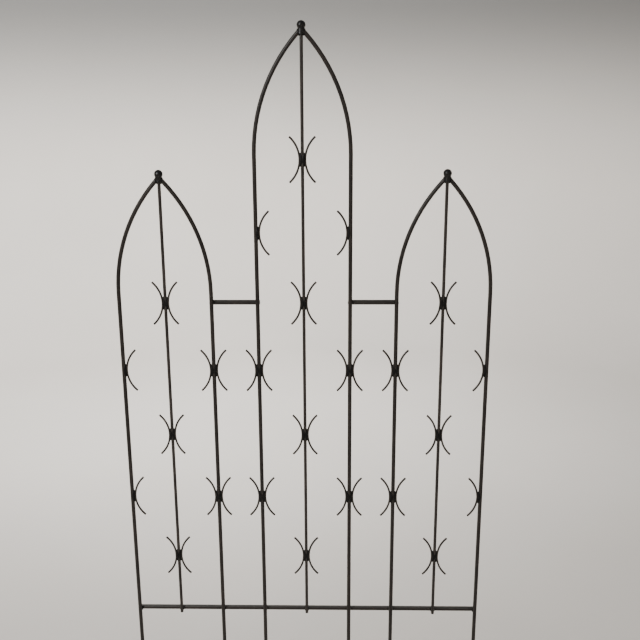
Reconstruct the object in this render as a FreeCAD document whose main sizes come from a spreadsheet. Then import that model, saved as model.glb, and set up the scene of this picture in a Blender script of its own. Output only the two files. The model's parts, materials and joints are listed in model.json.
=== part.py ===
import FreeCAD, Part
import math
import os
import Sketcher

# A flat garden trellis of black round bar: three pointed arches side by side, the middle one
# taller, each with a ball finial, a thinner centre rod and small bent wires welded on in rows.
# X runs along the panel, Y from its front to its back and Z up. The origin is on the floor,
# midway between the two outer legs, on the plane through the axes of the legs.

# Driving dimensions, in millimetres
sizeRows = (
    ("overallWidth", 914.0, "outer leg to outer leg, over their outsides"),
    ("overallHeight", 1829.0, "leg tips to the top of the middle finial"),
    ("legDia", 10.0, "bar of the legs and arches"),
    ("centreDia", 8.0, "bar of the three centre rods"),
    ("crossbarDia", 12.0, "bar of the bottom crossbar"),
    ("spacerDia", 12.0, "bar of the two spacers"),
    ("wireDia", 5.0, "wire of the scrolls"),
    ("crossbarRise", 320.0, "leg tips to the axis of the crossbar"),
    ("lowRowRise", 164.5, "axis of the crossbar to the lowest row of scrolls"),
    ("archRadius", 400.0, "radius of each bent half of an arch, to the bar's axis"),
    ("middleSpringRise", 12.0, "top row of scrolls to the start of the middle arch's bend"),
    ("sideSpringRise", 27.0, "third row of scrolls to the start of the side arches' bend"),
    ("centreTail", 9.0, "how far a centre rod runs below the axis of the crossbar"),
    ("wireRadius", 71.0, "bend radius of a scroll wire, to its axis"),
    ("wireChord", 106.0, "straight distance between the two ends of a scroll wire"),
    ("ballDia", 20.5, "ball of a finial"),
    ("ballRise", 7.5, "where the axes of two arch rods meet, up to the centre of the ball"),
    ("neckTopDia", 16.5, "neck of a finial, at the ball"),
    ("neckBaseDia", 18.0, "neck of a finial, at its foot"),
    ("neckClearance", 1.0, "foot of the neck below the place where three rods would touch"),
    ("weldGap", 0.4, "root gap that a weld fills between two bars"),
    ("scrollWeldDia", 6.2, "weld bead between a wire and its rod, across"),
    ("scrollWeldLength", 32.0, "weld bead between a wire and its rod, along the rod"),
    ("barWeldDia", 15.0, "weld bead where a rod crosses a bar, across"),
    ("crotchWeldDia", 6.8, "weld bead under a finial, between two rods"),
    ("endChamfer", 0.8, "bevel on the sawn end of a bar"),
)

# The panel's grid: uprights in nine columns, scrolls in seven rows counted from the top
columnCount = 9
outerColumn = columnCount // 2
columnsPerArch = 3
rowCount = 7
spacerRow = 3

# Radius of a circle before its sketch is solved
startRadius = 5.0

# Derived sizes, as texts that the document's expressions share
pitch = f"((sizes.overallWidth - sizes.legDia) / {columnCount - 1})"
legRadius = "(sizes.legDia / 2)"
centreRadius = "(sizes.centreDia / 2)"
archRise = f"sqrt(sizes.archRadius ^ 2 - (sizes.archRadius - {pitch}) ^ 2)"
middleApex = "(sizes.overallHeight - sizes.ballDia / 2 - sizes.ballRise)"
topRow = f"({middleApex} - {archRise} - sizes.middleSpringRise)"
lowRow = "(sizes.crossbarRise + sizes.lowRowRise)"
# the neck of a finial reaches down to where the arch rods clear the centre rod between them
neckDrop = (
    f"(({legRadius} * sizes.archRadius + {centreRadius} * (sizes.archRadius - {pitch}))"
    f" / {archRise} + sizes.neckClearance)"
)
# bars lie behind the uprights, and the thin centre rods lie on the same bars as the thick legs
barFront = f"({legRadius} + sizes.weldGap)"
centreDepth = f"({legRadius} - {centreRadius})"
wireTangent = "(sizes.weldGap + sizes.wireDia / 2)"
wireHalfAngle = "asin(sizes.wireChord / 2 / sizes.wireRadius)"

# The nine uprights, in columns from -4 to 4: six legs and three centre rods
legColumns = (-4, -2, -1, 1, 2, 4)
spacerColumns = (-2, -1, 1, 2)
uprightNames = {
    -4: "left_outer_leg",
    -3: "left_centre",
    -2: "left_inner_leg",
    -1: "middle_left_leg",
    0: "middle_centre",
    1: "middle_right_leg",
    2: "right_inner_leg",
    3: "right_centre",
    4: "right_outer_leg",
}
bothSides = ("left", "right")
# each entry: columns, rows counted from the top, sides of the upright that carry a wire
scrollPlan = (
    ((0,), (1, 3, 5, 7), bothSides),
    ((-3, 3), (3, 5, 7), bothSides),
    ((-2, -1, 1, 2), (4, 6), bothSides),
    ((-1,), (2,), ("right",)),
    ((1,), (2,), ("left",)),
    ((-4,), (4, 6), ("right",)),
    ((4,), (4, 6), ("left",)),
)

doc = FreeCAD.newDocument("trellis")
nodes = []


def makeSheet():
    sheet = doc.addObject("Spreadsheet::Sheet", "sizes")
    for row, (alias, value, note) in enumerate(sizeRows, start=1):
        sheet.set(f"A{row}", note)
        sheet.set(f"B{row}", str(value))
        sheet.setAlias(f"B{row}", alias)
    doc.recompute()
    return sheet


def bind(item, expressions):
    for name, text in expressions.items():
        item.setExpression(name, text)


def placeAt(item, x, y, z, turned=False):
    # a turned piece faces the other way along X
    if turned:
        item.Placement.Rotation = FreeCAD.Rotation(FreeCAD.Vector(0, 0, 1), 180)
    bind(item, {"Placement.Base.x": x, "Placement.Base.y": y, "Placement.Base.z": z})


def columnX(column):
    return f"({column} * {pitch})"


def archX(arch):
    # arches are -1, 0 and 1 from left to right
    return columnX(columnsPerArch * arch)


def rowZ(row):
    return f"({lowRow} + ({topRow} - {lowRow}) * {rowCount - row} / {rowCount - 1})"


def springZ(arch):
    if arch == 0:
        return f"({topRow} + sizes.middleSpringRise)"
    return f"({rowZ(spacerRow)} + sizes.sideSpringRise)"


def apexZ(arch):
    return f"({springZ(arch)} + {archRise})"


def isLeg(column):
    return column in legColumns


def uprightRadius(column):
    return legRadius if isLeg(column) else centreRadius


def uprightDepth(column):
    return "0" if isLeg(column) else centreDepth


# PartDesign helpers
def newBody(name):
    body = doc.addObject("PartDesign::Body", name)
    body.Label = name
    return body


def newSketch(body, role):
    sketch = body.newObject("Sketcher::SketchObject", f"{body.Name}_{role[:2].lower()}")
    plane = next(item for item in body.Origin.OriginFeatures if item.Role == role)
    sketch.AttachmentSupport = [(plane, "")]
    sketch.MapMode = "FlatFace"
    return sketch


def constrain(sketch, name, text, *reference):
    number = sketch.addConstraint(Sketcher.Constraint(*reference))
    sketch.renameConstraint(number, name)
    sketch.setExpression(f"Constraints.{name}", text)


def drawCircle(sketch, radiusText):
    circle = sketch.addGeometry(Part.Circle(FreeCAD.Vector(), FreeCAD.Vector(0, 0, 1), startRadius))
    sketch.addConstraint(Sketcher.Constraint("Coincident", circle, 3, -1, 1))
    constrain(sketch, "radius", radiusText, "Radius", circle, startRadius)


def circleEdges(shape, keep):
    # names of the round edges whose centre passes the given test
    names = []
    for number, edge in enumerate(shape.Edges, start=1):
        if isinstance(edge.Curve, Part.Circle) and edge.Closed and keep(edge.Curve.Center):
            names.append(f"Edge{number}")
    return names


def bevelEnds(body, feature, keep=lambda centre: True):
    doc.recompute()
    bevel = body.newObject("PartDesign::Chamfer", f"{body.Name}_bevel")
    bevel.Base = (feature, circleEdges(feature.Shape, keep))
    bind(bevel, {"Size": "sizes.endChamfer"})


def makeStraightRod(name, role, radiusText, lengthText):
    body = newBody(name)
    sketch = newSketch(body, role)
    drawCircle(sketch, radiusText)
    pad = body.newObject("PartDesign::Pad", f"{name}_pad")
    pad.Profile = sketch
    bind(pad, {"Length": lengthText})
    bevelEnds(body, pad)
    return body


# Finials: a ball on a short neck that flares towards its foot
def makeFinial(name, arch):
    ball = doc.addObject("Part::Sphere", f"{name}_ball")
    bind(ball, {"Radius": "sizes.ballDia / 2"})
    placeAt(ball, "0", "0", f"{neckDrop} + sizes.ballRise")
    neck = doc.addObject("Part::Cone", f"{name}_neck")
    bind(
        neck,
        {
            "Radius1": "sizes.neckBaseDia / 2",
            "Radius2": "sizes.neckTopDia / 2",
            "Height": f"{neckDrop} + sizes.ballRise",
        },
    )
    finial = doc.addObject("Part::Fuse", name)
    finial.Label = name
    finial.Base = neck
    finial.Tool = ball
    placeAt(finial, archX(arch), "0", f"{apexZ(arch)} - {neckDrop}")
    nodes.append(finial)
    return finial


# Arch rods: a straight leg that bends over into half of a pointed arch
def drawHalfArch(sketch, springText):
    # the arc's first guess comes from the sheet, so that the sketch settles the right way round
    radius = sizes.archRadius
    span = (sizes.overallWidth - sizes.legDia) / (columnCount - 1)
    spring = sizes.overallHeight - radius
    endAngle = math.pi - math.acos((radius - span) / radius)
    leg = sketch.addGeometry(
        Part.LineSegment(FreeCAD.Vector(0, 0, 0), FreeCAD.Vector(0, spring, 0))
    )
    fullCircle = Part.Circle(FreeCAD.Vector(radius, spring, 0), FreeCAD.Vector(0, 0, 1), radius)
    bend = sketch.addGeometry(Part.ArcOfCircle(fullCircle, endAngle, math.pi))
    sketch.addConstraint(Sketcher.Constraint("Coincident", leg, 1, -1, 1))
    sketch.addConstraint(Sketcher.Constraint("Vertical", leg))
    sketch.addConstraint(Sketcher.Constraint("Tangent", leg, 2, bend, 2))
    constrain(sketch, "legLength", springText, "DistanceY", leg, 1, leg, 2, spring)
    constrain(sketch, "bendRadius", "sizes.archRadius", "Radius", bend, radius)
    constrain(sketch, "halfSpan", pitch, "DistanceX", -1, 1, bend, 1, span)


def makeArchRod(name, column, arch, finial):
    body = newBody(f"{name}_uncut")
    section = newSketch(body, "XY_Plane")
    drawCircle(section, legRadius)
    path = newSketch(body, "XZ_Plane")
    drawHalfArch(path, springZ(arch))
    doc.recompute()
    pipe = body.newObject("PartDesign::AdditivePipe", f"{name}_pipe")
    pipe.Profile = section
    pipe.Spine = (path, ["Edge1", "Edge2"])
    bevelEnds(body, pipe, lambda centre: abs(centre.z) < sizes.legDia)
    placeAt(body, columnX(column), "0", "0", turned=column > columnsPerArch * arch)
    # the upper end is coped to sit against the neck of the finial
    rod = doc.addObject("Part::Cut", name)
    rod.Label = name
    rod.Base = body
    rod.Tool = finial
    nodes.append(rod)
    return rod


# Centre rods: from the foot of a finial's neck to just below the crossbar
def makeCentreRod(name, column, arch):
    bottom = "(sizes.crossbarRise - sizes.centreTail)"
    rod = makeStraightRod(
        name, "XY_Plane", centreRadius, f"{apexZ(arch)} - {neckDrop} - {bottom}"
    )
    placeAt(rod, columnX(column), centreDepth, bottom)
    nodes.append(rod)
    return rod


# Bars: behind the uprights, with their ends flush with the outsides of the legs
def makeBar(name, firstColumn, lastColumn, diaText, heightText):
    bar = makeStraightRod(
        name,
        "YZ_Plane",
        f"{diaText} / 2",
        f"{lastColumn - firstColumn} * {pitch} + sizes.legDia",
    )
    placeAt(
        bar,
        f"{columnX(firstColumn)} - {legRadius}",
        f"{barFront} + {diaText} / 2",
        heightText,
    )
    nodes.append(bar)
    return bar


# Scroll wires: short arcs that turn their backs to the rod
def makeWire(name, column, row, side):
    body = newBody(name)
    sketch = newSketch(body, "XY_Plane")
    circle = sketch.addGeometry(
        Part.Circle(FreeCAD.Vector(sizes.wireRadius, 0, 0), FreeCAD.Vector(0, 0, 1), startRadius)
    )
    sketch.addConstraint(Sketcher.Constraint("PointOnObject", circle, 3, -1))
    constrain(sketch, "radius", "sizes.wireDia / 2", "Radius", circle, startRadius)
    constrain(
        sketch, "bend", "sizes.wireRadius", "DistanceX", -1, 1, circle, 3, sizes.wireRadius
    )
    arc = body.newObject("PartDesign::Revolution", f"{name}_arc")
    arc.Profile = sketch
    arc.ReferenceAxis = (sketch, ["V_Axis"])
    arc.Midplane = True
    bind(arc, {"Angle": f"2 * {wireHalfAngle}"})
    sign = "-" if side == "left" else "+"
    offset = f"({uprightRadius(column)} + {wireTangent} + sizes.wireRadius)"
    placeAt(
        body,
        f"{columnX(column)} {sign} {offset}",
        uprightDepth(column),
        rowZ(row),
        turned=side == "right",
    )
    nodes.append(body)
    return body


def scrollPlaces():
    return [
        (column, row, side)
        for columns, rows, sides in scrollPlan
        for column in columns
        for row in rows
        for side in sides
    ]


def makeAllWires():
    return [
        makeWire(f"wire_{uprightNames[column]}_row{row}_{side}", column, row, side)
        for column, row, side in scrollPlaces()
    ]


# Welds: beads that fill the root gap and the corners beside it
def makeWeldGroup(name, beads, neighbours):
    # the beads are cut back to the surfaces of the bars that they join
    blanks = doc.addObject("Part::Compound", f"{name}_blanks")
    blanks.Links = beads
    joined = doc.addObject("Part::Compound", f"{name}_neighbours")
    joined.Links = neighbours
    group = doc.addObject("Part::Cut", name)
    group.Label = name
    group.Base = blanks
    group.Tool = joined
    nodes.append(group)
    return group


def makeScrollBead(name, column, row, side):
    bead = doc.addObject("Part::Cylinder", name)
    bind(bead, {"Radius": "sizes.scrollWeldDia / 2", "Height": "sizes.scrollWeldLength"})
    sign = "-" if side == "left" else "+"
    placeAt(
        bead,
        f"{columnX(column)} {sign} ({uprightRadius(column)} + sizes.weldGap / 2)",
        uprightDepth(column),
        f"{rowZ(row)} - sizes.scrollWeldLength / 2",
    )
    return bead


def makeRoundBead(name, diaText, x, y, z):
    bead = doc.addObject("Part::Sphere", name)
    bind(bead, {"Radius": f"{diaText} / 2"})
    placeAt(bead, x, y, z)
    return bead


def scrollBeads():
    return [
        makeScrollBead(f"scroll_bead_{number}", column, row, side)
        for number, (column, row, side) in enumerate(scrollPlaces())
    ]


def barBeads():
    # beads on the outer legs sit inboard, so that nothing stands out past the legs
    inboard = f"(sizes.barWeldDia / 2 - {legRadius})"
    shifts = {-outerColumn: f" + {inboard}", outerColumn: f" - {inboard}"}
    crossings = [(column, "sizes.crossbarRise") for column in uprightNames]
    crossings += [(column, rowZ(spacerRow)) for column in spacerColumns]
    return [
        makeRoundBead(
            f"bar_bead_{number}",
            "sizes.barWeldDia",
            columnX(column) + shifts.get(column, ""),
            f"{legRadius} + sizes.weldGap / 2",
            heightText,
        )
        for number, (column, heightText) in enumerate(crossings)
    ]


def crotchBeads():
    return [
        makeRoundBead(
            f"crotch_bead_{arch + 1}_{side}",
            "sizes.crotchWeldDia",
            f"{archX(arch)} {sign} ({centreRadius} + sizes.neckClearance)",
            centreDepth,
            f"{apexZ(arch)} - {neckDrop}",
        )
        for arch in (-1, 0, 1)
        for side, sign in (("left", "-"), ("right", "+"))
    ]


def checkDocument():
    failed = [
        item.Name
        for item in doc.Objects
        if "Invalid" in item.State or "Error" in item.State
    ]
    if failed:
        raise RuntimeError(f"failed objects: {failed}")
    for node in nodes:
        shape = node.Shape
        if shape.isNull() or not shape.isValid() or not shape.Solids:
            raise RuntimeError(f"bad shape: {node.Label}")
    if len({node.Label for node in nodes}) != len(nodes):
        raise RuntimeError("two nodes share a label")


def writeNodes():
    os.makedirs("parts", exist_ok=True)
    for node in nodes:
        node.Shape.exportStep(f"parts/{node.Label}.step")


sizes = makeSheet()

finials = {
    -1: makeFinial("left_finial", -1),
    0: makeFinial("middle_finial", 0),
    1: makeFinial("right_finial", 1),
}
archRods = [
    makeArchRod("left_arch_outer_rod", -4, -1, finials[-1]),
    makeArchRod("left_arch_inner_rod", -2, -1, finials[-1]),
    makeArchRod("middle_arch_left_rod", -1, 0, finials[0]),
    makeArchRod("middle_arch_right_rod", 1, 0, finials[0]),
    makeArchRod("right_arch_inner_rod", 2, 1, finials[1]),
    makeArchRod("right_arch_outer_rod", 4, 1, finials[1]),
]
centreRods = [
    makeCentreRod("left_centre_rod", -3, -1),
    makeCentreRod("middle_centre_rod", 0, 0),
    makeCentreRod("right_centre_rod", 3, 1),
]
bars = [
    makeBar("bottom_crossbar", -outerColumn, outerColumn, "sizes.crossbarDia", "sizes.crossbarRise"),
    makeBar("left_spacer_bar", -2, -1, "sizes.spacerDia", rowZ(spacerRow)),
    makeBar("right_spacer_bar", 1, 2, "sizes.spacerDia", rowZ(spacerRow)),
]
wires = makeAllWires()
doc.recompute()

uprights = archRods + centreRods
makeWeldGroup("scroll_welds", scrollBeads(), uprights + wires)
makeWeldGroup("bar_welds", barBeads(), uprights + bars)
makeWeldGroup("finial_welds", crotchBeads(), uprights + list(finials.values()))
doc.recompute()

checkDocument()
writeNodes()
print(f"wrote {len(nodes)} nodes")
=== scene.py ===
import bmesh
import bpy
import json
import math
import random
from mathutils import Matrix, Vector, noise


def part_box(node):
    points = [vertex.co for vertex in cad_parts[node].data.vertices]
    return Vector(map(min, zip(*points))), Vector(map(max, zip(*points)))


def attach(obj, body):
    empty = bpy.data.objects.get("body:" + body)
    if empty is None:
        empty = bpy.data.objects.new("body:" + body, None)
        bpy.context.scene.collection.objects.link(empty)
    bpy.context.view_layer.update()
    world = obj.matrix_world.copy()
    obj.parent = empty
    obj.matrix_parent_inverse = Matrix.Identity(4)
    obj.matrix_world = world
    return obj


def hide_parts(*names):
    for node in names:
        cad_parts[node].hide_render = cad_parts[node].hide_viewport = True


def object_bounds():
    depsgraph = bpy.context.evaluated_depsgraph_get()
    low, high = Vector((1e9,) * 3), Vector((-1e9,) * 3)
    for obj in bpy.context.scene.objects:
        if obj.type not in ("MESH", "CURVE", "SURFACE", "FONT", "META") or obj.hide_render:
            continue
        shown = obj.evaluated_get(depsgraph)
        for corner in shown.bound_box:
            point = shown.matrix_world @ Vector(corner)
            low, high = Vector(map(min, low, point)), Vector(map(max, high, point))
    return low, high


# A garden trellis of black coated steel bar, standing on its leg tips in a pale studio.
# Lengths are in metres. X runs along the panel, Y from front to back, Z up.

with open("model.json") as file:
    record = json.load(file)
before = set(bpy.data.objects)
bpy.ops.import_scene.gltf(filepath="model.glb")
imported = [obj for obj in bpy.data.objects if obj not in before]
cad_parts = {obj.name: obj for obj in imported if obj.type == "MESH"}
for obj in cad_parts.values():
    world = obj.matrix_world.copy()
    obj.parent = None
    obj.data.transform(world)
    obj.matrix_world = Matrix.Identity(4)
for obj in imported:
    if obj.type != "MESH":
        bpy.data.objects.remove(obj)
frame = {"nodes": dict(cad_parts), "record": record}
cadLow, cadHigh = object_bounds()

# nine uprights stand in evenly spaced columns, from -4 to 4
outerColumn = 4
centreColumns = (-3, 0, 3)
spacerColumns = (-2, -1, 1, 2)
archNames = ("left", "middle", "right")
crossbarLow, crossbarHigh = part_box("bottom_crossbar")
spacerLow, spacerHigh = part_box("left_spacer_bar")
archRodLow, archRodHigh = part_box("left_arch_inner_rod")
legRadius = (archRodHigh.y - archRodLow.y) / 2
columnPitch = (cadHigh.x - legRadius) / outerColumn
weldGap = 0.0004  # root gap between two bars, under each weld
print("frame loaded:", len(frame["nodes"]), "nodes")


# the camera stands a little right of the middle, just below the top of the tall arch
camera = {
    "lens": 48.17,  # millimetres, as the sensor
    "sensor": 36.0,
    "place": (0.0795, -2.0235, 1.6901),
    "tilt": -15.386,  # degrees from level, below it when negative
    "turn": -1.137,  # degrees to the right
    "roll": -0.278,
}


def makeCamera(c):
    data = bpy.data.cameras.new("camera")
    data.lens = c["lens"]
    data.sensor_width = c["sensor"]
    item = bpy.data.objects.new("camera", data)
    bpy.context.scene.collection.objects.link(item)
    # a camera that isn't turned looks straight down, and 90 degrees bring it level
    turn = Matrix.Rotation(math.radians(-c["turn"]), 4, "Z")
    tilt = Matrix.Rotation(math.radians(90 + c["tilt"]), 4, "X")
    roll = Matrix.Rotation(math.radians(c["roll"]), 4, "Z")
    item.matrix_world = Matrix.Translation(c["place"]) @ turn @ tilt @ roll
    bpy.context.scene.camera = item


makeCamera(camera)


# the mix node has a set of sockets for each kind of value, and these are its colours
mixColourInputs = (6, 7)
mixColourOutput = 2


def newMaterial(name):
    material = bpy.data.materials.new(name)
    material.use_nodes = True
    tree = material.node_tree
    shader = tree.nodes["Principled BSDF"]
    return material, tree, shader


def link(tree, source, output, target, socket):
    tree.links.new(source.outputs[output], target.inputs[socket])


def noiseNode(tree, coords, scale, detail, rough):
    node = tree.nodes.new("ShaderNodeTexNoise")
    node.inputs["Scale"].default_value = scale
    node.inputs["Detail"].default_value = detail
    node.inputs["Roughness"].default_value = rough
    link(tree, coords, "Object", node, "Vector")
    return node


def spread(tree, source, output, low, high, newLow=0.0, newHigh=1.0):
    # stretches the values from low to high over the new range
    node = tree.nodes.new("ShaderNodeMapRange")
    node.inputs["From Min"].default_value = low
    node.inputs["From Max"].default_value = high
    node.inputs["To Min"].default_value = newLow
    node.inputs["To Max"].default_value = newHigh
    link(tree, source, output, node, "Value")
    return node


def multiply(tree, sourceA, outputA, sourceB, outputB):
    node = tree.nodes.new("ShaderNodeMath")
    node.operation = "MULTIPLY"
    link(tree, sourceA, outputA, node, 0)
    link(tree, sourceB, outputB, node, 1)
    return node


def mixColour(tree, factor, factorOutput, *colours):
    # each of the two colours is a tuple, or a mix node that came before
    node = tree.nodes.new("ShaderNodeMix")
    node.data_type = "RGBA"
    link(tree, factor, factorOutput, node, "Factor")
    for socket, colour in zip(mixColourInputs, colours):
        if isinstance(colour, tuple):
            node.inputs[socket].default_value = (*colour, 1.0)
        else:
            link(tree, colour, mixColourOutput, node, socket)
    return node


def bumpNode(tree, height, output, distance, before=None):
    node = tree.nodes.new("ShaderNodeBump")
    node.inputs["Distance"].default_value = distance
    node.inputs["Strength"].default_value = 1.0
    link(tree, height, output, node, "Height")
    if before:
        link(tree, before, "Normal", node, "Normal")
    return node


# black coating over hand-worked steel, browner and thinner where it bloomed
# patches, chips, grains, smear, hammer and peel are noise: scale, detail and roughness
frameCoat = {
    "coat": (0.0150, 0.0125, 0.0108),
    "bloom": (0.0290, 0.0237, 0.0200),
    "patches": (14.0, 4.0, 0.6),
    "patchRange": (0.36, 0.72),
    "rust": (0.095, 0.038, 0.016),
    "chips": (260.0, 5.0, 0.62),
    "chipRange": (0.68, 0.71),
    "chipDepth": -0.00008,
    "dust": (0.16, 0.145, 0.125),
    "grains": (900.0, 3.0, 0.7),
    "upwardRange": (0.25, 1.0),
    "dustLevel": 0.22,
    "smear": (48.0, 3.0, 0.55),
    "smearRange": (0.3, 0.7),
    "gloss": (0.28, 0.44),
    "shine": 0.30,
    "hammer": (70.0, 2.0, 0.5),
    "hammerDepth": 0.0007,
    "peel": (620.0, 1.0, 0.4),
    "peelDepth": 0.00012,
}
centreCoat = dict(frameCoat, bloom=(0.050, 0.0415, 0.0355), hammer=(95.0, 2.0, 0.5))
wireCoat = dict(
    frameCoat,
    bloom=(0.046, 0.038, 0.0325),
    peel=(800.0, 1.0, 0.4),
    hammer=(140.0, 2.0, 0.5),
)
finialCoat = dict(
    frameCoat,
    coat=(0.0040, 0.0037, 0.0036),
    bloom=(0.0075, 0.0068, 0.0064),
    gloss=(0.26, 0.38),
    shine=0.34,
    dustLevel=0.05,
)
# the welds are a darker black than the bars
weldCoat = dict(
    frameCoat,
    coat=(0.0016, 0.0015, 0.0014),
    bloom=(0.0036, 0.0032, 0.0030),
    gloss=(0.36, 0.54),
    shine=0.24,
    dustLevel=0.03,
)


def coatedSteel(name, c):
    material, tree, shader = newMaterial(name)
    coords = tree.nodes.new("ShaderNodeTexCoord")
    geometry = tree.nodes.new("ShaderNodeNewGeometry")

    # the coat is thinner and browner in soft patches
    patches = noiseNode(tree, coords, *c["patches"])
    patchMask = spread(tree, patches, "Fac", *c["patchRange"])
    colour = mixColour(tree, patchMask, "Result", c["coat"], c["bloom"])

    # small chips show rusted steel
    chips = noiseNode(tree, coords, *c["chips"])
    chipMask = spread(tree, chips, "Fac", *c["chipRange"])
    colour = mixColour(tree, chipMask, "Result", colour, c["rust"])

    # dust settles on what faces up
    facing = tree.nodes.new("ShaderNodeSeparateXYZ")
    link(tree, geometry, "Normal", facing, "Vector")
    upward = spread(tree, facing, "Z", *c["upwardRange"], 0.0, c["dustLevel"])
    grains = noiseNode(tree, coords, *c["grains"])
    settled = multiply(tree, upward, "Result", grains, "Fac")
    colour = mixColour(tree, settled, "Value", colour, c["dust"])
    link(tree, colour, mixColourOutput, shader, "Base Color")

    # gloss wanders in patches of its own
    smear = noiseNode(tree, coords, *c["smear"])
    gloss = spread(tree, smear, "Fac", *c["smearRange"], *c["gloss"])
    link(tree, gloss, "Result", shader, "Roughness")
    shader.inputs["Specular IOR Level"].default_value = c["shine"]

    # hammered unevenness of the bar, orange peel of the coat, and the edges of the chips
    hammer = noiseNode(tree, coords, *c["hammer"])
    peel = noiseNode(tree, coords, *c["peel"])
    bumps = bumpNode(tree, hammer, "Fac", c["hammerDepth"])
    bumps = bumpNode(tree, peel, "Fac", c["peelDepth"], bumps)
    bumps = bumpNode(tree, chipMask, "Result", c["chipDepth"], bumps)
    link(tree, bumps, "Normal", shader, "Normal")
    return material


finishes = {
    "frame_bar": coatedSteel("frameBarCoat", frameCoat),
    "centre_rod": coatedSteel("centreRodCoat", centreCoat),
    "scroll_wire": coatedSteel("scrollWireCoat", wireCoat),
    "finial": coatedSteel("finialCoat", finialCoat),
    "weld_bead": coatedSteel("weldBeadCoat", weldCoat),
}
for part in frame["record"]["subparts"]:
    slots = frame["nodes"][part["node"]].data.materials
    slots.clear()
    slots.append(finishes[part["material_slot"]])
print("coats mixed:", len(finishes))


lumpScale = 420.0  # lumps to a metre
sideSeed = 0.25  # sets the lumps of a left bead apart from those of the right one


def lump(point, size, seed):
    # smooth unevenness of worked metal, a few millimetres from crest to crest
    return size * noise.noise(point * lumpScale + Vector((seed, 0.0, 0.0)))


def anglesRound(count):
    return [2 * math.pi * step / count for step in range(count)]


def skin(mesh, rows, first, last):
    # closes rings of points into one skin, with a point at each end
    for row, following in zip(rows, rows[1:]):
        count = len(row)
        for i in range(count):
            j = (i + 1) % count
            mesh.faces.new((row[i], row[j], following[j], following[i]))
    count = len(rows[0])
    for i in range(count):
        j = (i + 1) % count
        mesh.faces.new((first, rows[0][j], rows[0][i]))
        mesh.faces.new((last, rows[-1][i], rows[-1][j]))


def finishPiece(mesh, name, slotName, node):
    # turns the mesh into a piece that stands for a node of the frame
    for face in mesh.faces:
        face.smooth = True
    bmesh.ops.recalc_face_normals(mesh, faces=mesh.faces)
    data = bpy.data.meshes.new(name)
    mesh.to_mesh(data)
    mesh.free()
    data.materials.append(finishes[slotName])
    piece = bpy.data.objects.new(name, data)
    bpy.context.scene.collection.objects.link(piece)
    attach(piece, "root")
    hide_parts(node)


def uprightAt(x):
    # the axis of the nearest upright at that x, and its radius
    column = round(x / columnPitch)
    if column in centreColumns:
        low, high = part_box("middle_centre_rod")
        radius = (high.x - low.x) / 2
        return Vector((column * columnPitch, (low.y + high.y) / 2, 0)), radius
    return Vector((column * columnPitch, 0, 0)), legRadius


spatter = {
    "perBead": 3,
    "reach": 0.020,  # up and down from the middle of the bead
    "swing": 0.4 * math.pi,  # round the bar from its inboard side
    "size": (0.00025, 0.00055),
    "subdivisions": 2,
    "scrollSeed": 7,
    "barSeed": 11,
}


def addSpatter(mesh, axis, barRadius, c, dice):
    # small balls of thrown metal, half sunk in the bar beside a bead, none on its outboard side
    inboard = math.pi if axis.x > 0 else 0.0
    for _ in range(c["perBead"]):
        turn = inboard + dice.uniform(-c["swing"], c["swing"])
        size = dice.uniform(*c["size"])
        rise = dice.uniform(-c["reach"], c["reach"])
        place = axis + Vector((barRadius * math.cos(turn), barRadius * math.sin(turn), rise))
        bmesh.ops.create_icosphere(
            mesh,
            subdivisions=c["subdivisions"],
            radius=size,
            matrix=Matrix.Translation(place),
        )


# a heavy bead laps over the rod and up the wire, and comes to a blunt point at each end
scrollBead = {
    "length": 0.033,
    "wireBend": 0.0735,  # radius of the wire's outside
    "lap": 0.0022,
    "climb": 0.0021,
    "proud": 0.0010,
    "ripple": 0.0019,  # from one ripple to the next
    "rippleDepth": 0.00034,
    "crescent": 0.5,  # how far a ripple bends at its sides, in ripples
    "lumps": 0.00040,
    "rings": 52,
    "segments": 26,
}


def wireGap(height, c):
    # how far the wire has bent away from the rod, at that height above its middle
    return weldGap + c["wireBend"] - math.sqrt(c["wireBend"] ** 2 - height**2)


def addScrollBead(mesh, surface, side, barRadius, c, seed):
    # surface is the point of the rod that faces the middle of the wire
    half = c["length"] / 2
    rows = []
    for ring in range(1, c["rings"]):
        angle = math.pi * ring / c["rings"]
        height = -half * math.cos(angle)
        taper = math.sin(angle)
        # the ends lie halfway across the gap, and the middle fills it and climbs the wire
        inner = -(barRadius + c["lap"]) * taper
        outer = wireGap(height, c) * (1 + taper) / 2 + c["climb"] * taper
        middle = surface + Vector((side * (inner + outer) / 2, 0, height))
        row = []
        for turn in anglesRound(c["segments"]):
            wave = height / c["ripple"] + c["crescent"] * abs(math.sin(turn))
            ripple = c["rippleDepth"] * math.sin(2 * math.pi * wave)
            wide = (outer - inner) / 2 + ripple
            deep = (barRadius + c["proud"]) * taper + ripple
            offset = Vector((wide * math.cos(turn), deep * math.sin(turn), 0))
            offset += offset.normalized() * lump(middle + offset, c["lumps"], seed)
            row.append(mesh.verts.new(middle + offset))
        rows.append(row)
    endGap = Vector((side * wireGap(half, c) / 2, 0, half))
    first = mesh.verts.new(surface + Vector((endGap.x, 0, -half)))
    last = mesh.verts.new(surface + endGap)
    skin(mesh, rows, first, last)


def makeScrollWelds():
    mesh = bmesh.new()
    dice = random.Random(spatter["scrollSeed"])
    wires = sorted(name for name in frame["nodes"] if name.startswith("wire_"))
    for number, wire in enumerate(wires):
        low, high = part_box(wire)
        side = -1 if wire.endswith("_left") else 1
        axis, barRadius = uprightAt(high.x if side < 0 else low.x)
        axis.z = (low.z + high.z) / 2
        surface = axis + Vector((side * barRadius, 0, 0))
        addScrollBead(mesh, surface, side, barRadius, scrollBead, float(number))
        addSpatter(mesh, axis, barRadius, spatter, dice)
    finishPiece(mesh, "scrollWelds", "weld_bead", "scroll_welds")


makeScrollWelds()


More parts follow.
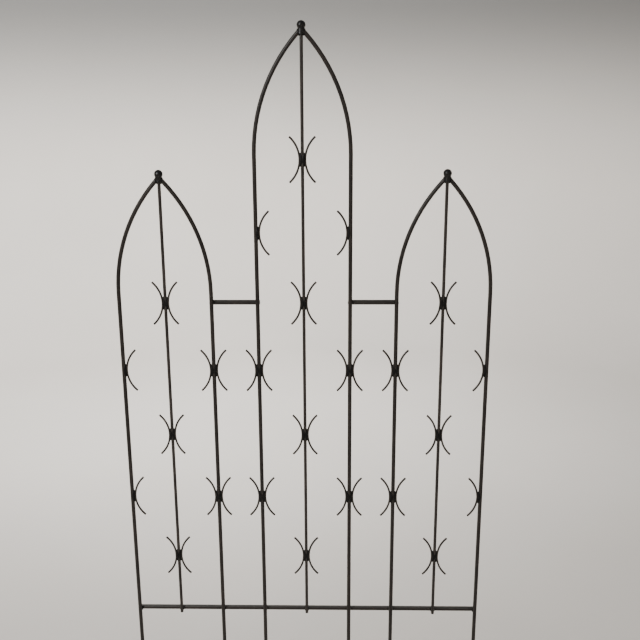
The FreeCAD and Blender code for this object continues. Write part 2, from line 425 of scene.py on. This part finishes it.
# beads round the spots where bars cross, and smaller ones in the crotches under the finials
barBead = {
    "radius": (0.0059, 0.0062, 0.0072),
    "ripples": 17,
    "rippleDepth": 0.00026,
    "rippleStart": 2.0,  # radians by which the ripples of each bead are turned
    "lumps": 0.0005,
    "rings": 18,
    "segments": 34,
}
crotchBead = dict(
    barBead,
    radius=(0.0034, 0.0038, 0.0034),
    ripples=9,
    lumps=0.0003,
    offset=0.001,
    seed=20.0,
)


def addRoundBead(mesh, centre, c, seed):
    # a bead that goes round the spot where two bars touch, rippled round its rim
    rows = []
    wide, deep, tall = c["radius"]
    for ring in range(1, c["rings"]):
        angle = math.pi * ring / c["rings"]
        rim = math.sin(angle)
        row = []
        for turn in anglesRound(c["segments"]):
            wave = math.sin(c["ripples"] * turn + c["rippleStart"] * seed)
            ripple = 1 + c["rippleDepth"] / wide * rim * wave
            across = wide * rim * ripple * math.cos(turn)
            along = tall * rim * ripple * math.sin(turn)
            offset = Vector((across, -deep * math.cos(angle), along))
            offset += offset.normalized() * lump(centre + offset, c["lumps"], seed)
            row.append(mesh.verts.new(centre + offset))
        rows.append(row)
    first = mesh.verts.new(centre - Vector((0, deep, 0)))
    last = mesh.verts.new(centre + Vector((0, deep, 0)))
    skin(mesh, rows, first, last)


def makeBarWelds():
    mesh = bmesh.new()
    dice = random.Random(spatter["barSeed"])
    crossbarHeight = (crossbarLow.z + crossbarHigh.z) / 2
    spacerHeight = (spacerLow.z + spacerHigh.z) / 2
    crossings = [(column, crossbarHeight) for column in range(-outerColumn, outerColumn + 1)]
    crossings += [(column, spacerHeight) for column in spacerColumns]
    for number, (column, height) in enumerate(crossings):
        # beads on the outer legs sit inboard, so that the legs stay the widest part
        inboard = barBead["radius"][0] + barBead["lumps"] - legRadius
        shift = -math.copysign(inboard, column) if abs(column) == outerColumn else 0.0
        centre = Vector((column * columnPitch + shift, legRadius + weldGap / 2, height))
        addRoundBead(mesh, centre, barBead, float(number))
        axis, barRadius = uprightAt(column * columnPitch)
        axis.z = height
        addSpatter(mesh, axis, barRadius, spatter, dice)
    finishPiece(mesh, "barWelds", "weld_bead", "bar_welds")


makeBarWelds()


# the seam where an arch rod is coped against the neck of a finial
seamBead = {
    "neckRadius": 0.0087,
    "rise": 0.0035,
    "halfDepth": 0.0051,
    "halfHeight": 0.0072,
    "from": math.radians(-32),
    "to": math.radians(212),
    "thickness": 0.0011,
    "endTaper": 0.3,
    "rippleDepth": 0.00016,
    "ripples": 15,
    "lumps": 0.0003,
    "steps": 60,
    "segments": 12,
    "seed": 30.0,
}


def seamPath(foot, side, c):
    # an oval line laid on the neck, with foot the middle of the neck's lower end
    points = []
    for step in range(c["steps"] + 1):
        turn = c["from"] + (c["to"] - c["from"]) * step / c["steps"]
        depth = c["halfDepth"] * math.cos(turn)
        across = math.sqrt(c["neckRadius"] ** 2 - depth**2)
        height = c["rise"] + c["halfHeight"] * math.sin(turn)
        points.append(foot + Vector((side * across, depth, height)))
    return points


def addSeamBead(mesh, foot, side, c, seed):
    points = seamPath(foot, side, c)
    rows = []
    for step in range(1, c["steps"]):
        along = (points[step + 1] - points[step - 1]).normalized()
        sideways = along.cross(Vector((side, 0, 0))).normalized()
        outward = sideways.cross(along)
        share = step / c["steps"]
        ripple = c["rippleDepth"] * math.sin(2 * math.pi * c["ripples"] * share)
        radius = (c["thickness"] + ripple) * math.sin(math.pi * share) ** c["endTaper"]
        row = []
        for turn in anglesRound(c["segments"]):
            offset = radius * (math.cos(turn) * outward + math.sin(turn) * sideways)
            offset += offset.normalized() * lump(points[step] + offset, c["lumps"], seed)
            row.append(mesh.verts.new(points[step] + offset))
        rows.append(row)
    first = mesh.verts.new(points[0])
    last = mesh.verts.new(points[-1])
    skin(mesh, rows, first, last)


def makeFinialWelds():
    mesh = bmesh.new()
    for number, name in enumerate(archNames):
        low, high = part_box(f"{name}_finial")
        rodLow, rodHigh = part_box(f"{name}_centre_rod")
        depth = (rodLow.y + rodHigh.y) / 2
        foot = Vector(((low.x + high.x) / 2, 0, low.z))
        for side, edge in ((-1, rodLow.x), (1, rodHigh.x)):
            seed = number + side * sideSeed
            centre = Vector((edge + side * crotchBead["offset"], depth, low.z))
            addRoundBead(mesh, centre, crotchBead, crotchBead["seed"] + seed)
            addSeamBead(mesh, foot, side, seamBead, seamBead["seed"] + seed)
    finishPiece(mesh, "finialWelds", "weld_bead", "finial_welds")


makeFinialWelds()
print("welds laid")


# a ball turned in one piece with its tapered neck, joined by a small cove and worn a little uneven
finialShape = {
    "neckFoot": 0.0090,
    "neckTop": 0.00825,
    "footRound": 0.0007,
    "coveDrop": 0.0015,  # how far the cove runs down the neck
    "coveTurn": 0.17,  # and up the ball, in radians
    "wear": 0.00012,
    "footSteps": 4,
    "neckSteps": 6,
    "coveSteps": 8,
    "ballSteps": 40,
    "segments": 64,
    "seed": 40.0,
}


def finialProfile(ballRadius, ballMiddle, c):
    # pairs of radius and rise, from the foot of the neck to just below the top of the ball
    meet = math.asin(c["neckTop"] / ballRadius)
    corner = Vector((c["neckTop"], ballMiddle - ballRadius * math.cos(meet)))
    foot = Vector((c["neckFoot"], 0.0))
    profile = []
    for step in range(c["footSteps"]):
        angle = math.pi / 2 * step / c["footSteps"]
        inset = Vector((math.sin(angle) - 1, 1 - math.cos(angle)))
        profile.append(foot + inset * c["footRound"])
    neckStart = foot.lerp(corner, c["footRound"] / corner.y)
    neckEnd = foot.lerp(corner, 1 - c["coveDrop"] / corner.y)
    for step in range(c["neckSteps"]):
        profile.append(neckStart.lerp(neckEnd, step / c["neckSteps"]))
    ballStart = meet + c["coveTurn"]
    ballEdge = Vector((math.sin(ballStart), -math.cos(ballStart))) * ballRadius
    ballEdge.y += ballMiddle
    for step in range(c["coveSteps"]):
        share = step / c["coveSteps"]
        profile.append(neckEnd.lerp(corner, share).lerp(corner.lerp(ballEdge, share), share))
    for step in range(c["ballSteps"]):
        angle = ballStart + (math.pi - ballStart) * step / c["ballSteps"]
        rise = ballMiddle - ballRadius * math.cos(angle)
        profile.append(Vector((ballRadius * math.sin(angle), rise)))
    return profile


def makeFinial(name, c, seed):
    low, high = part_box(f"{name}_finial")
    ballRadius = (high.x - low.x) / 2
    foot = Vector(((low.x + high.x) / 2, (low.y + high.y) / 2, low.z))
    mesh = bmesh.new()
    rows = []
    for radius, rise in finialProfile(ballRadius, high.z - low.z - ballRadius, c):
        row = []
        for turn in anglesRound(c["segments"]):
            outward = Vector((math.cos(turn), math.sin(turn), 0.0))
            point = foot + outward * radius + Vector((0.0, 0.0, rise))
            worn = (c["wear"] - lump(point, c["wear"], seed)) * radius / ballRadius
            row.append(mesh.verts.new(point - outward * worn))
        rows.append(row)
    first = mesh.verts.new(foot)
    last = mesh.verts.new(Vector((foot.x, foot.y, high.z)))
    skin(mesh, rows, first, last)
    finishPiece(mesh, f"{name}Finial", "finial", f"{name}_finial")


for number, name in enumerate(archNames):
    makeFinial(name, finialShape, finialShape["seed"] + number)
print("finials turned")


# the studio is a pale bowl of painted board, with painted shade darkening the top of the wall
# behind
studio = {
    "innerRadius": 1.7,
    "flatRadius": 3.4,
    "coveRadius": 1.1,
    "wallHeight": 4.6,
    "segments": 96,
    "coveSteps": 18,
    "paint": (0.635, 0.60, 0.555),
    "paintShade": (0.605, 0.57, 0.527),
    "clouds": (0.9, 3.0, 0.5),  # noise: scale, detail and roughness
    "cloudRange": (0.35, 0.65),
    "roughness": 0.85,
    # painted shade: the dark colour laid over the top of the wall behind
    "paintedTopShade": (0.128, 0.125, 0.118),
    "fade": (0.90, 2.35),  # heights between which the painted shade comes in
    "fadeBehind": (1.6, 3.2),  # and distances behind the trellis
}


def studioPaintAndShade(c):
    material, tree, shader = newMaterial("studioPaintAndShade")
    coords = tree.nodes.new("ShaderNodeTexCoord")
    clouds = noiseNode(tree, coords, *c["clouds"])
    cloudMask = spread(tree, clouds, "Fac", *c["cloudRange"])
    colour = mixColour(tree, cloudMask, "Result", c["paint"], c["paintShade"])
    # painted shade darkens the wall high up and far behind the trellis, in place of light falling
    # off
    place = tree.nodes.new("ShaderNodeSeparateXYZ")
    link(tree, coords, "Object", place, "Vector")
    height = spread(tree, place, "Z", *c["fade"])
    height.interpolation_type = "SMOOTHSTEP"
    behind = spread(tree, place, "Y", *c["fadeBehind"])
    behind.interpolation_type = "SMOOTHSTEP"
    fade = multiply(tree, height, "Result", behind, "Result")
    colour = mixColour(tree, fade, "Value", colour, c["paintedTopShade"])
    link(tree, colour, mixColourOutput, shader, "Base Color")
    shader.inputs["Roughness"].default_value = c["roughness"]
    return material


def studioProfile(c):
    # pairs of radius and height: flat floor, cove and upright wall
    profile = [(c["innerRadius"], 0.0)]
    for step in range(c["coveSteps"] + 1):
        angle = math.pi / 2 * step / c["coveSteps"]
        outward = c["flatRadius"] + c["coveRadius"] * math.sin(angle)
        profile.append((outward, c["coveRadius"] * (1 - math.cos(angle))))
    profile.append((c["flatRadius"] + c["coveRadius"], c["wallHeight"]))
    return profile


def makeStudio(c):
    # floor, cove and wall are one surface of revolution round the trellis
    mesh = bmesh.new()
    centre = mesh.verts.new((0.0, 0.0, 0.0))
    rings = []
    for radius, height in studioProfile(c):
        ring = []
        for angle in anglesRound(c["segments"]):
            place = (radius * math.cos(angle), radius * math.sin(angle), height)
            ring.append(mesh.verts.new(place))
        rings.append(ring)
    for i in range(c["segments"]):
        j = (i + 1) % c["segments"]
        mesh.faces.new((centre, rings[0][i], rings[0][j]))
        for inner, outer in zip(rings, rings[1:]):
            mesh.faces.new((inner[i], outer[i], outer[j], inner[j]))
    for face in mesh.faces:
        face.smooth = True
    data = bpy.data.meshes.new("studio")
    mesh.to_mesh(data)
    mesh.free()
    item = bpy.data.objects.new("studio", data)
    bpy.context.scene.collection.objects.link(item)
    data.materials.append(studioPaintAndShade(c))


makeStudio(studio)


# two lamps wash the wall behind and the wall in front, and the key lights the bars
lamps = {
    "wash": {
        "place": (-0.8, 1.5, 2.9),
        "aim": (-0.8, 4.2, 0.6),
        "size": (2.6, 1.0),
        "watts": 245.0,
    },
    "frontWash": {
        "place": (0.6, -1.5, 3.1),
        "aim": (0.6, -4.3, 0.7),
        "size": (2.6, 1.0),
        "watts": 65.0,
    },
    "key": {
        "place": (-1.7, -2.0, 2.7),
        "aim": (0.0, 0.0, 1.0),
        "size": (0.9, 1.6),
        "watts": 62.0,
    },
}
sky = {"tone": (0.97, 0.98, 1.0), "strength": 0.30}


def makeLamp(name, c):
    data = bpy.data.lights.new(name, "AREA")
    data.shape = "RECTANGLE"
    data.size, data.size_y = c["size"]
    data.energy = c["watts"]
    item = bpy.data.objects.new(name, data)
    bpy.context.scene.collection.objects.link(item)
    item.location = c["place"]
    toward = Vector(c["aim"]) - Vector(c["place"])
    item.rotation_euler = toward.to_track_quat("-Z", "Y").to_euler()
    item.visible_camera = False


def makeSky(c):
    world = bpy.data.worlds.new("softSky")
    world.use_nodes = True
    background = world.node_tree.nodes["Background"]
    background.inputs["Color"].default_value = (*c["tone"], 1.0)
    background.inputs["Strength"].default_value = c["strength"]
    bpy.context.scene.world = world


for lampName, lamp in lamps.items():
    makeLamp(lampName, lamp)
makeSky(sky)
print("studio lit:", len(lamps), "lamps")
